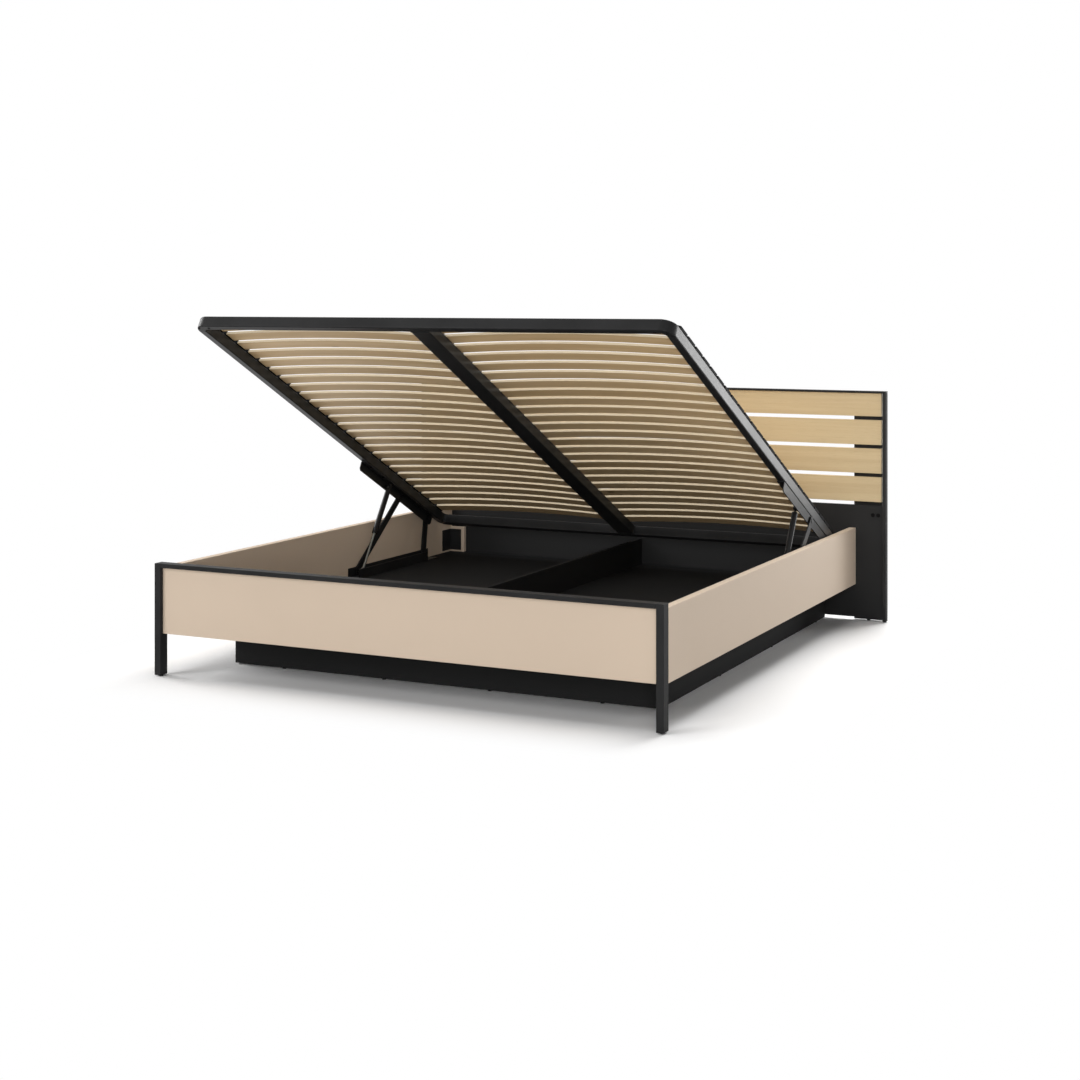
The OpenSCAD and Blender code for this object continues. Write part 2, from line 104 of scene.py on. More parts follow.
# ---------------------------------------------------------------- shader graphs


class Value:
    """A socket that takes part in arithmetic. Each operator adds one Math node."""

    def __init__(self, graph: Graph, socket: bpy.types.NodeSocket) -> None:
        """Wraps a socket of a graph."""
        self.graph = graph
        self.socket = socket

    def __add__(self, other: Value | float) -> Value:
        """Sum."""
        return self.graph.math("ADD", self, other)

    __radd__ = __add__

    def __sub__(self, other: Value | float) -> Value:
        """Difference."""
        return self.graph.math("SUBTRACT", self, other)

    def __rsub__(self, other: float) -> Value:
        """Difference, with the number first."""
        return self.graph.math("SUBTRACT", other, self)

    def __mul__(self, other: Value | float) -> Value:
        """Product."""
        return self.graph.math("MULTIPLY", self, other)

    __rmul__ = __mul__

    def __abs__(self) -> Value:
        """Size without sign."""
        return self.graph.math("ABSOLUTE", self)

    def sine(self) -> Value:
        """Sine of the value, in radians."""
        return self.graph.math("SINE", self)

    def root(self) -> Value:
        """Square root."""
        return self.graph.math("SQRT", self)

    def at_least(self, other: Value | float) -> Value:
        """The larger of two."""
        return self.graph.math("MAXIMUM", self, other)

    def at_most(self, other: Value | float) -> Value:
        """The smaller of two."""
        return self.graph.math("MINIMUM", self, other)

    def about(self, middle: float, spread: float) -> Value:
        """A value from 0 to 1, spread evenly about a middle."""
        return self * spread + (middle - spread / 2)

    def shared(self, other: Value, share: float) -> Value:
        """Mean of two values in which the other has that share."""
        return self * (1 - share) + other * share

    def smooth(self, low: float, high: float) -> Value:
        """Smooth step: 3 t^2 - 2 t^3, with t from 0 at low to 1 at high.

        Args:
            low: Where the step starts.
            high: Where it ends.

        Returns:
            The step, from 0 to 1.
        """
        made = self.graph.node(
            "ShaderNodeMapRange",
            {"interpolation_type": "SMOOTHSTEP", "clamp": True},
            {"Value": self, "From Min": low, "From Max": high},
        )
        return Value(self.graph, made.outputs["Result"])


class Graph:
    """The nodes of one material or world."""

    def __init__(self, owner: bpy.types.Material | bpy.types.World) -> None:
        """Starts without nodes.

        Args:
            owner: The material or world.
        """
        owner.use_nodes = True
        self.owner = owner
        self.nodes = owner.node_tree.nodes
        self.links = owner.node_tree.links
        self.nodes.clear()

    @classmethod
    def of_material(cls, name: str) -> Graph:
        """Starts a new material."""
        return cls(bpy.data.materials.new(name))

    def node(
        self, kind: str, settings: dict | None = None, inputs: dict | None = None
    ) -> bpy.types.Node:
        """Adds a node: its settings first, then its sockets.

        Args:
            kind: The node's type.
            settings: Properties by name.
            inputs: Numbers, colours, sockets or Values by socket name or index.

        Returns:
            The new node.
        """
        made = self.nodes.new(kind)
        for name, setting in (settings or {}).items():
            setattr(made, name, setting)
        for name, given in (inputs or {}).items():
            socket = made.inputs[name]
            if isinstance(given, Value):
                given = given.socket
            if isinstance(given, bpy.types.NodeSocket):
                self.links.new(given, socket)
            elif socket.type == "RGBA":
                socket.default_value = (*given, 1.0)
            else:
                socket.default_value = given
        return made

    def math(self, operation: str, *operands: Value | float) -> Value:
        """Adds one Math node."""
        made = self.node("ShaderNodeMath", {"operation": operation}, dict(enumerate(operands)))
        return Value(self, made.outputs[0])

    def place(self, scale: float | Triple) -> bpy.types.NodeSocket:
        """Object coordinates, scaled.

        Args:
            scale: Patterns in a metre, one number for all axes or one for each.

        Returns:
            The scaled coordinates.
        """
        coords = self.node("ShaderNodeTexCoord").outputs["Object"]
        by_axis = np.broadcast_to(scale, 3).tolist()
        mapped = self.node("ShaderNodeMapping", inputs={"Vector": coords, "Scale": by_axis})
        return mapped.outputs["Vector"]

    def moved(
        self, vector: bpy.types.NodeSocket, by: Value, along: Triple
    ) -> bpy.types.NodeSocket:
        """Shifts a vector: vector + by * along.

        Args:
            vector: The vector.
            by: How far it shifts.
            along: The shift where by is 1.

        Returns:
            The shifted vector.
        """
        kind = "ShaderNodeVectorMath"
        step = self.node(kind, {"operation": "SCALE"}, {0: along, "Scale": by})
        made = self.node(kind, {"operation": "ADD"}, {0: vector, 1: step.outputs["Vector"]})
        return made.outputs["Vector"]

    def noise(
        self,
        vector: bpy.types.NodeSocket,
        detail: float,
        rough: float = 0.55,
        distortion: float = 0.0,
    ) -> Value:
        """Fractal noise.

        Args:
            vector: Where it is looked up.
            detail: How many finer layers it has.
            rough: How strong each finer layer is.
            distortion: How far the pattern is warped.

        Returns:
            Noise from 0 to 1.
        """
        inputs = {
            "Vector": vector,
            "Scale": 1.0,
            "Detail": detail,
            "Roughness": rough,
            "Distortion": distortion,
        }
        return Value(self, self.node("ShaderNodeTexNoise", inputs=inputs).outputs["Fac"])

    def cells(self, vector: bpy.types.NodeSocket) -> Value:
        """Distance to the nearest of scattered points, one in each unit cube."""
        made = self.node("ShaderNodeTexVoronoi", inputs={"Vector": vector, "Scale": 1.0})
        return Value(self, made.outputs["Distance"])

    def attribute(self, name: str) -> Value:
        """A number stored on the mesh."""
        settings = {"attribute_type": "GEOMETRY", "attribute_name": name}
        return Value(self, self.node("ShaderNodeAttribute", settings).outputs["Fac"])

    def mix(
        self,
        factor: Value,
        low: Colour | bpy.types.NodeSocket,
        high: Colour | bpy.types.NodeSocket,
    ) -> bpy.types.NodeSocket:
        """Mixes two colours.

        Args:
            factor: How much of the second colour shows, from 0 to 1.
            low: The first colour.
            high: The second colour.

        Returns:
            The mixed colour.
        """
        settings = {"data_type": "RGBA", "clamp_factor": True}
        return self.node("ShaderNodeMix", settings, {0: factor, 6: low, 7: high}).outputs[2]

    def bump(self, height: Value, strength: float, depth: float) -> bpy.types.NodeSocket:
        """Normal of a small relief.

        Args:
            height: The relief, from 0 to 1.
            strength: How much of it shows.
            depth: Its depth where the height is 1.

        Returns:
            The normal.
        """
        inputs = {"Height": height, "Strength": strength, "Distance": depth}
        return self.node("ShaderNodeBump", inputs=inputs).outputs["Normal"]

    def seen(self) -> Value:
        """Tells rays that show a surface from those that only light the scene.

        Returns:
            1 for rays that the camera, a reflection or a transmission sends, else 0.
        """
        path = self.node("ShaderNodeLightPath")
        names = ("Is Camera Ray", "Is Glossy Ray", "Is Transmission Ray")
        camera, glossy, through = (Value(self, path.outputs[name]) for name in names)
        return camera.at_least(glossy).at_least(through)

    def between(self, factor: Value, low: bpy.types.Node, high: bpy.types.Node) -> bpy.types.Node:
        """Mixes two shader nodes, the second where the factor is 1."""
        inputs = {0: factor, 1: low.outputs[0], 2: high.outputs[0]}
        return self.node("ShaderNodeMixShader", inputs=inputs)

    def end(self, shader: bpy.types.Node) -> bpy.types.Material | bpy.types.World:
        """Ends the graph in a shader node.

        Args:
            shader: The shader node.

        Returns:
            The material or world.
        """
        is_world = isinstance(self.owner, bpy.types.World)
        output = "ShaderNodeOutputWorld" if is_world else "ShaderNodeOutputMaterial"
        self.node(output, inputs={"Surface": shader.outputs[0]})
        return self.owner

    def surface(self, **sockets: object) -> bpy.types.Material:
        """Ends the graph in a Principled shader. Words of a socket name are joined by _."""
        named = {key.replace("_", " "): given for key, given in sockets.items()}
        return self.end(self.node("ShaderNodeBsdfPrincipled", inputs=named))


# --------------------------------------------------------------------- finishes


def times(colour: Colour, factor: float) -> Colour:
    """A colour lightened or darkened by a factor, at most 1."""
    return tuple(min(1.0, factor * part) for part in colour)


@dataclass(frozen=True)
class Finish:
    """A finish: the name of its material, and how it is made.

    In every finish, a scale is patterns in a metre, an edge is where a smooth step starts
    and ends, a share is a part of a mix, and relief and depth are a bump's strength and
    distance.
    """

    name: str

    def make(self) -> bpy.types.Material:
        """Builds the material."""
        raise NotImplementedError


@dataclass(frozen=True)
class PowderCoat(Finish):
    """Satin black powder coat: a fine orange peel over steel."""

    name: str = "black_powder_coat"
    colour: Colour = (0.0160, 0.0160, 0.0163)
    tint: float = 0.14
    rough: float = 0.38
    rough_spread: float = 0.08
    ior: float = 1.21
    cloud_scale: float = 6.0
    cloud_edge: Pair = (0.3, 0.7)
    grain_scale: float = 900.0
    grain_relief: float = 0.5
    peel_scale: float = 260.0
    relief: float = 0.35
    depth: float = 0.00018

    def make(self) -> bpy.types.Material:
        """Builds the material.

        Returns:
            The material.
        """
        g = Graph.of_material(self.name)
        cloud = g.noise(g.place(self.cloud_scale), detail=2)
        grain = g.noise(g.place(self.grain_scale), detail=2)
        peel = g.noise(g.place(self.peel_scale), detail=1)
        dark, light = times(self.colour, 1 - self.tint), times(self.colour, 1 + self.tint)
        return g.surface(
            Base_Color=g.mix(cloud.smooth(*self.cloud_edge), dark, light),
            Roughness=cloud.about(self.rough, self.rough_spread),
            IOR=self.ior,
            Normal=g.bump(peel + grain * self.grain_relief, self.relief, self.depth),
        )


@dataclass(frozen=True)
class FacedBoard(Finish):
    """Board with a matt decor face: an even colour, faintly mottled, with a fine pore."""

    colour: Colour
    rough: float = 0.6
    rough_spread: float = 0.10
    ior: float = 1.35
    mottle: float = 0.03
    mottle_scale: float = 3.1
    fine_scale: float = 240.0
    fine_share: float = 0.25
    pore_scale: float = 700.0
    relief: float = 0.25
    depth: float = 0.00006

    def make(self) -> bpy.types.Material:
        """Builds the material.

        Returns:
            The material.
        """
        g = Graph.of_material(self.name)
        mottle = g.noise(g.place(self.mottle_scale), detail=4)
        fine = g.noise(g.place(self.fine_scale), detail=2)
        pore = g.noise(g.place(self.pore_scale), detail=2)
        dark, light = times(self.colour, 1 - self.mottle), times(self.colour, 1 + self.mottle)
        return g.surface(
            Base_Color=g.mix(mottle.shared(fine, self.fine_share), dark, light),
            Roughness=fine.about(self.rough, self.rough_spread),
            IOR=self.ior,
            Normal=g.bump(pore, self.relief, self.depth),
        )


@dataclass(frozen=True)
class OakBoard(Finish):
    """Light oak with straight grain along X, broad cathedral bands and fine dark pores."""

    name: str = "light_oak"
    pale: Colour = (0.69, 0.56, 0.345)
    warm: Colour = (0.585, 0.45, 0.26)
    pore: Colour = (0.36, 0.235, 0.11)
    rough: float = 0.5
    rough_spread: float = 0.12
    ior: float = 1.45
    wander_scale: Triple = (0.9, 5.0, 7.0)
    band_scale: Triple = (0.55, 14.0, 34.0)
    band_edge: Pair = (0.3, 0.72)
    rings: float = 26.0
    ring_wander: float = 9.0
    ring_edge: Pair = (0.15, 0.95)
    ring_share: float = 0.22
    streak_scale: Triple = (5.0, 60.0, 420.0)
    streak_share: float = 0.35
    streak_relief: float = 0.3
    pore_scale: Triple = (22.0, 300.0, 1500.0)
    pore_edge: Pair = (0.60, 0.74)
    pore_share: float = 0.42
    pore_relief: float = 0.8
    relief: float = 0.3
    depth: float = 0.0002

    def make(self) -> bpy.types.Material:
        """Builds the material. The rings are a sine of bands that wander.

        Returns:
            The material.
        """
        g = Graph.of_material(self.name)
        wander = g.noise(g.place(self.wander_scale), detail=2)
        bands = g.noise(g.place(self.band_scale), detail=5, rough=0.6, distortion=0.25)
        wave = (bands * self.rings + wander * self.ring_wander).sine()
        rings = (wave * 0.5 + 0.5).smooth(*self.ring_edge)
        streak = g.noise(g.place(self.streak_scale), detail=3)
        pores = g.noise(g.place(self.pore_scale), detail=2).smooth(*self.pore_edge)
        tone = bands.smooth(*self.band_edge).shared(streak, self.streak_share)
        body = g.mix(tone, self.pale, self.warm)
        ringed = g.mix(rings * self.ring_share, body, self.warm)
        height = 1 - pores * self.pore_relief + streak * self.streak_relief
        return g.surface(
            Base_Color=g.mix(pores * self.pore_share, ringed, self.pore),
            Roughness=streak.about(self.rough, self.rough_spread),
            IOR=self.ior,
            Normal=g.bump(height, self.relief, self.depth),
        )


@dataclass(frozen=True)
class SlatWood(Finish):
    """Sealed beech and poplar laminate. It reads three numbers stored on the slats:
    seed (one per slat, which shifts its patterns), over (-1 to 1 over the width) and ply
    (0 to 1 through the thickness)."""

    name: str = "slat_laminate"
    pale: Colour = (0.695, 0.505, 0.290)
    warm: Colour = (0.550, 0.375, 0.190)
    knot: Colour = (0.25, 0.15, 0.075)
    edge_light: Colour = (0.83, 0.715, 0.53)
    edge_dark: Colour = (0.65, 0.53, 0.36)
    rough: float = 0.505
    rough_spread: float = 0.15
    ior: float = 1.42
    grain_scale: Triple = (1.4, 34.0, 34.0)
    grain_shift: Triple = (37.0, 11.0, 5.0)
    grain_edge: Pair = (0.28, 0.75)
    grain_tone: float = 0.6
    fine_scale: Triple = (16.0, 420.0, 420.0)
    fine_shift: Triple = (9.0, 3.0, 7.0)
    fine_tone: float = 0.25
    seed_tone: float = 0.45
    less_tone: float = 0.07
    knot_scale: Triple = (3.6, 5.6, 5.6)
    knot_shift: Triple = (53.0, 17.0, 23.0)
    knot_edge: Pair = (0.03, 0.085)
    knot_share: float = 0.72
    halo_edge: Pair = (0.05, 0.22)
    halo_share: float = 0.35
    plies: int = 6
    ply_edge: Pair = (-0.6, 0.6)
    ply_relief: float = 0.6
    ply_fine_share: float = 0.3
    side_edge: Pair = (0.955, 0.985)
    relief: float = 0.25
    depth: float = 0.00015

    def make(self) -> bpy.types.Material:
        """Builds the material: grain and knots on the faces, plies on the long sides.

        Returns:
            The material.
        """
        g = Graph.of_material(self.name)
        seed = g.attribute("seed")
        along = g.moved(g.place(self.grain_scale), seed, self.grain_shift)
        grain = g.noise(along, detail=5, rough=0.6, distortion=0.3)
        fine = g.noise(g.moved(g.place(self.fine_scale), seed, self.fine_shift), detail=2)
        spot = g.cells(g.moved(g.place(self.knot_scale), seed, self.knot_shift))
        knots = 1 - spot.smooth(*self.knot_edge)
        halo = 1 - spot.smooth(*self.halo_edge)
        tone = grain.smooth(*self.grain_edge) * self.grain_tone + fine * self.fine_tone
        tone = tone + seed * self.seed_tone - self.less_tone
        face = g.mix(tone, self.pale, self.warm)
        face = g.mix(halo * self.halo_share, face, self.warm)
        face = g.mix(knots * self.knot_share, face, self.knot)
        turns = g.attribute("ply") * (2 * math.pi * self.plies)
        layers = turns.sine().smooth(*self.ply_edge)
        edge_tone = layers.shared(fine, self.ply_fine_share)
        edge = g.mix(edge_tone, self.edge_dark, self.edge_light)
        at_edge = abs(g.attribute("over")).smooth(*self.side_edge)
        height = fine + layers * at_edge * self.ply_relief
        return g.surface(
            Base_Color=g.mix(at_edge, face, edge),
            Roughness=fine.about(self.rough, self.rough_spread),
            IOR=self.ior,
            Normal=g.bump(height, self.relief, self.depth),
        )


@dataclass(frozen=True)
class Moulded(Finish):
    """Moulded plastic with a fine spark-eroded grain."""

    name: str = "black_plastic_grain"
    colour: Colour = (0.010, 0.010, 0.0105)
    tint: float = 1.35
    rough: float = 0.7
    rough_spread: float = 0.12
    ior: float = 1.16
    cloud_scale: float = 40.0
    grain_scale: float = 1400.0
    relief: float = 0.3
    depth: float = 0.0001

    def make(self) -> bpy.types.Material:
        """Builds the material.

        Returns:
            The material.
        """
        g = Graph.of_material(self.name)
        cloud = g.noise(g.place(self.cloud_scale), detail=2)
        grain = g.noise(g.place(self.grain_scale), detail=2)
        return g.surface(
            Base_Color=g.mix(cloud, self.colour, times(self.colour, self.tint)),
            Roughness=cloud.about(self.rough, self.rough_spread),
            IOR=self.ior,
            Normal=g.bump(grain, self.relief, self.depth),
        )


@dataclass(frozen=True)
class PlatedSteel(Finish):
    """Drawn or plated steel with fine lines along X."""

    colour: Colour
    rough: float
    tint: float = 0.8
    line_scale: Triple = (60.0, 1600.0, 1600.0)
    line_rough: float = 0.1
    stain_scale: float = 70.0
    stain_edge: Pair = (0.35, 0.8)
    stain_rough: float = 0.2
    relief: float = 0.15
    depth: float = 0.00005

    def make(self) -> bpy.types.Material:
        """Builds the material.

        Returns:
            The material.
        """
        g = Graph.of_material(self.name)
        line = g.noise(g.place(self.line_scale), detail=2)
        stain = g.noise(g.place(self.stain_scale), detail=3)
        dull = times(self.colour, self.tint)
        least = self.rough - (self.stain_rough + self.line_rough) / 2
        return g.surface(
            Base_Color=g.mix(stain.smooth(*self.stain_edge), self.colour, dull),
            Metallic=1.0,
            Roughness=stain * self.stain_rough + line * self.line_rough + least,
            Normal=g.bump(line, self.relief, self.depth),
        )


@cache
def material_of(finish: Finish) -> bpy.types.Material:
    """The material of a finish, made at its first use."""
    return finish.make()


POWDER_COAT = PowderCoat()
RAIL_COAT = PowderCoat("black_rail_coat", ior=1.33)
FRAME_COAT = PowderCoat("black_frame_coat", (0.026, 0.026, 0.0264), rough=0.45, ior=1.12)
POST_COAT = PowderCoat("black_post_coat", (0.034, 0.034, 0.0344), rough=0.5, ior=1.08)
GAS_PAINT = PowderCoat(
    "gas_spring_paint", (0.008, 0.008, 0.0083), rough=0.27, ior=1.28, depth=0.00004
)
BEIGE = FacedBoard("beige_decor", (0.655, 0.53, 0.412))
TRAY = FacedBoard("tray_decor", (0.0125, 0.0125, 0.0127), rough=0.65, ior=1.10, mottle=0.12)
BLACK = FacedBoard("black_decor", (0.0225, 0.0225, 0.0228), ior=1.22, mottle=0.10)
PLINTH = FacedBoard("plinth_decor", (0.031, 0.031, 0.0313), rough=0.65, ior=1.08, mottle=0.10)
OAK = OakBoard()
SLAT = SlatWood()
PLASTIC = Moulded()
CAP_PLASTIC = Moulded("cap_plastic_grain", (0.0055, 0.0055, 0.0057), rough=0.75, ior=1.12)
BLACKENED = PlatedSteel("blackened_steel", (0.022, 0.022, 0.023), rough=0.45)
ROD = PlatedSteel("rod_steel", (0.200, 0.205, 0.190), rough=0.42)


# ------------------------------------------------------------------------ shapes


def rounded_rectangle(width: float, height: float, radius: float, steps: int = 4) -> Array:
    """Outline of a rectangle with round corners, counter-clockwise about its middle.

    Each corner is a quarter circle: point = corner centre + radius * (cos t, sin t), with t
    over 90 degrees in equal steps.

    Args:
        width: Size along the first axis.
        height: Size along the second axis.
        radius: Radius of the corners.
        steps: Steps along each corner.

    Returns:
        Points of shape (4 * (steps + 1), 2).
    """
    turn = np.linspace(0, math.pi / 2, steps + 1)
    starts = np.array([0, 0.5, 1, 1.5]) * math.pi
    signs = np.array([(1, 1), (-1, 1), (-1, -1), (1, -1)], float)
    centres = signs * (width / 2 - radius, height / 2 - radius)
    angle = starts[:, None] + turn[None, :]
    ring = centres[:, None, :] + radius * np.stack([np.cos(angle), np.sin(angle)], 2)
    return ring.reshape(-1, 2)


def grid_faces(rows: int, columns: int, closed: bool = False) -> Array:
    """Quads of a grid of points numbered row by row, in which the last column joins the first.

    Args:
        rows: Number of rows.
        columns: Number of points in a row.
        closed: Whether the last row joins the first.

    Returns:
        Point numbers of shape (quads, 4).
    """
    i = np.arange(rows if closed else rows - 1)[:, None]
    j = np.arange(columns)[None, :]
    here, ahead = i * columns, (i + 1) % rows * columns
    beside = (j + 1) % columns
    corners = (here + j, here + beside, ahead + beside, ahead + j)
    return np.stack(np.broadcast_arrays(*corners), 2).reshape(-1, 4)


def add_object(name: str, data: bpy.types.ID) -> bpy.types.Object:
    """Adds an object to the scene, at the origin.

    Args:
        name: Name of the object.
        data: Its mesh, light or camera.

    Returns:
        The object.
    """
    made = bpy.data.objects.new(name, data)
    bpy.context.scene.collection.objects.link(made)
    return made


def shade(mesh: bpy.types.Mesh) -> None:
    """Shades a mesh smooth, but for its sharp edges."""
    mesh.shade_smooth()
    mesh.set_sharp_from_angle(angle=SHARP)


class Shell:
    """Points and faces of one piece while it is worked out."""

    def __init__(self) -> None:
        """Starts without points."""
        self.points: list[Array] = []
        self.faces: list[list[int]] = []
        self.numbers: dict[str, list[Array]] = {}
        self.count = 0

    def add(self, points: Array, faces: Iterable[Sequence[int]], **numbers: Array) -> None:
        """Adds points and the faces among them.

        Args:
            points: Places of shape (points, 3).
            faces: Numbers of each face's points, counted from 0.
            numbers: A value per point, stored by name.
        """
        self.faces += [[int(k) + self.count for k in face] for face in faces]
        self.points.append(points)
        self.count += len(points)
        for name, values in numbers.items():
            self.numbers.setdefault(name, []).append(values)

    def sweep(
        self,
        outline: Array,
        centres: Array,
        across: Array,
        up: Array,
        closed: bool = False,
        **numbers: Array,
    ) -> None:
        """Carries an outline along a path: point(i, j) = centre(i) + outline(j).x * across(i)
        + outline(j).y * up(i). An open path's ends are closed.

        Args:
            outline: Closed outline of shape (columns, 2).
            centres: Path of shape (rows, 3).
            across: Direction of the outline's first axis, one or one per row.
            up: Direction of the outline's second axis, one or one per row.
            closed: Whether the path is a loop.
            numbers: Values per outline point or per grid point, stored by name.
        """
        rows, columns = len(centres), len(outline)
        across = np.broadcast_to(across, (rows, 3))
        up = np.broadcast_to(up, (rows, 3))
        grid = (
            centres[:, None, :]
            + outline[None, :, 0, None] * across[:, None, :]
            + outline[None, :, 1, None] * up[:, None, :]
        )
        faces = grid_faces(rows, columns, closed).tolist()
        if not closed:
            faces.append(list(range(columns))[::-1])
            faces.append([(rows - 1) * columns + j for j in range(columns)])
        stored = {
            name: np.broadcast_to(values, (rows, columns)).reshape(-1)
            for name, values in numbers.items()
        }
        self.add(grid.reshape(-1, 3), faces, **stored)

    def lathe(self, profile: Sequence[Pair], centre: Array, axis: Array, steps: int) -> None:
        """Turns a profile about an axis: point(i, j) = centre + axis * height(i)
        + radius(i) * (cos t(j) * e1 + sin t(j) * e2), with e1 and e2 square to the axis.

        Args:
            profile: (radius, height) pairs from one end to the other; a radius of 0 is a pole.
            centre: Point on the axis at height 0.
            axis: Unit direction of the axis.
            steps: Points round the axis.
        """
        upright, level = np.array([0.0, 0, 1]), np.array([1.0, 0, 0])
        helper = upright if abs(axis[2]) < STEEP else level
        first = np.cross(helper, axis)
        first /= np.linalg.norm(first)
        second = np.cross(axis, first)
        turn = np.linspace(0, 2 * math.pi, steps, endpoint=False)
        ring = np.cos(turn)[:, None] * first + np.sin(turn)[:, None] * second
        radius, height = np.array(profile, float).T
        grid = (
            centre
            + height[:, None, None] * axis
            + radius[:, None, None] * ring[None, :, :]
        )
        self.add(grid.reshape(-1, 3), grid_faces(len(profile), steps).tolist())

    def box(self, low: Sequence[float], high: Sequence[float]) -> None:
        """Adds a box: its corners are every choice of low or high along each axis.

        Args:
            low: Its lowest corner.
            high: Its highest corner.
        """
        ends = np.array([low, high], float)
        pick = np.array([(i, j, k) for i in (0, 1) for j in (0, 1) for k in (0, 1)])
        corners = np.stack([ends[pick[:, axis], axis] for axis in range(3)], 1)
        across = [(0, 1, 3, 2), (4, 6, 7, 5)]
        along = [(0, 4, 5, 1), (2, 3, 7, 6)]
        upright = [(0, 2, 6, 4), (1, 5, 7, 3)]
        self.add(corners, across + along + upright)

    def make(self, name: str) -> bpy.types.Object:
        """Turns the shell into an object at the origin.

        Args:
            name: Name of the object.

        Returns:
            The object, with merged doubles and outward normals.
        """
        mesh = bpy.data.meshes.new(name)
        points = np.concatenate(self.points)
        mesh.from_pydata(points.tolist(), [], self.faces)
        for label, values in self.numbers.items():
            layer = mesh.attributes.new(label, "FLOAT", "POINT")
            layer.data.foreach_set("value", np.concatenate(values).astype(np.float32))
        close_seams(mesh)
        shade(mesh)
        return add_object(name, mesh)


def close_seams(mesh: bpy.types.Mesh) -> None:
    """Merges a mesh's doubles and points its faces outwards.

    Args:
        mesh: The mesh.
    """
    work = bmesh.new()
    work.from_mesh(mesh)
    bmesh.ops.remove_doubles(work, verts=work.verts, dist=DOUBLE)
    bmesh.ops.dissolve_degenerate(work, edges=work.edges, dist=NO_LENGTH)
    bmesh.ops.recalc_face_normals(work, faces=work.faces)
    work.to_mesh(mesh)
    work.free()


def join_triangles(mesh: bpy.types.Mesh) -> None:
    """Merges the doubles of a CAD node's mesh and joins its flat triangles.

    Args:
        mesh: A copy of the node's mesh.
    """
    work = bmesh.new()
    work.from_mesh(mesh)
    bmesh.ops.remove_doubles(work, verts=work.verts, dist=CAD_DOUBLE)
    bmesh.ops.dissolve_limit(
        work,
        angle_limit=FLAT,
        verts=work.verts,
        edges=work.edges,
        use_dissolve_boundaries=False,
    )
    work.to_mesh(mesh)
    work.free()


def ease(piece: bpy.types.Object, width: float, steps: int) -> bpy.types.Object:
    """Rounds a piece's sharp edges with a Bevel modifier.

    Args:
        piece: The piece.
        width: Width of the rounding.
        steps: Steps across it.

    Returns:
        The same piece.
    """
    bevel = piece.modifiers.new("eased_edges", "BEVEL")
    bevel.width = width
    bevel.segments = steps
    bevel.limit_method = "ANGLE"
    bevel.angle_limit = SHARP
    bevel.harden_normals = True
    bevel.use_clamp_overlap = True
    return piece


def keep_flat(piece: bpy.types.Object) -> bpy.types.Object:
    """Shades wide faces flat beside their narrow roundings: each corner's normal is the mean
    of its faces' normals, weighted by their areas.

    Args:
        piece: The piece.

    Returns:
        The same piece.
    """
    weigh = piece.modifiers.new("flat_faces", "WEIGHTED_NORMAL")
    weigh.mode = "FACE_AREA"
    weigh.weight = FLAT_WEIGHT
    weigh.keep_sharp = True
    return piece


def node_body(node: str) -> str:
    """Body that carries a CAD node."""
    bodies = frame["record"]["behaviour"]["bodies"]
    return next(body for body, members in bodies.items() if node in members)


def settle(
    piece: bpy.types.Object, finish: Finish, slot: Slot, body: str, *nodes: str
) -> bpy.types.Object:
    """Dresses a piece, puts it on its body and lets it stand for CAD nodes.

    Args:
        piece: The piece.
        finish: Its finish.
        slot: The record's material slot. Not used.
        body: The body that carries it.
        nodes: CAD nodes that it replaces.

    Returns:
        The same piece.
    """
    piece.data.materials.clear()
    piece.data.materials.append(material_of(finish))
    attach(piece, body)
    if nodes:
        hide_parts(*nodes)
    LOG.info("%s rides on %s", piece.name, body)
    return piece


def board(node: str, finish: Finish, slot: Slot, width: float) -> bpy.types.Object:
    """A board in place of a box-shaped CAD node, with eased edges.

    Args:
        node: The CAD node.
        finish: Its finish.
        slot: The record's material slot.
        width: Width of the eased edge.

    Returns:
        The board.
    """
    shell = Shell()
    shell.box(*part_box(node))
    piece = ease(shell.make(f"{node}_board"), width, BOARD_STEPS)
    return settle(piece, finish, slot, node_body(node), node)


def eased_copy(
    node: str,
    finish: Finish,
    slot: Slot,
    width: float,
    steps: int = 2,
    reshape: Callable[[Array], Array] | None = None,
) -> bpy.types.Object:
    """A copy of a CAD node with its flat triangles joined and its edges rounded.

    Args:
        node: The CAD node.
        finish: Its finish.
        slot: The record's material slot.
        width: Width of the rounding.
        steps: Steps across it.
        reshape: Moves the copy's points, if given.

    Returns:
        The copy, which stands for the node.
    """
    mesh = frame["nodes"][node].data.copy()
    join_triangles(mesh)
    if reshape:
        points = np.empty(len(mesh.vertices) * 3)
        mesh.vertices.foreach_get("co", points)
        mesh.vertices.foreach_set("co", reshape(points.reshape(-1, 3)).reshape(-1))
        mesh.update()
    shade(mesh)
    piece = ease(add_object(f"{node}_eased", mesh), width, steps)
    return settle(piece, finish, slot, node_body(node), node)


# ------------------------------------------------------------------------ studio


@dataclass(frozen=True)
class Softbox:
    """A square soft light that faces a point."""

    name: str
    at: Triple
    aim: Triple
    width: float
    watts: float

    def build(self) -> None:
        """Adds the light, which the camera doesn't see."""
        data = bpy.data.lights.new(self.name, "AREA")
        data.shape = "SQUARE"
        data.size = self.width
        data.energy = self.watts
        light = add_object(self.name, data)
        light.visible_camera = False
        light.location = self.at
        towards = Vector(np.subtract(self.aim, self.at))
        light.rotation_euler = towards.to_track_quat("-Z", "Y").to_euler()


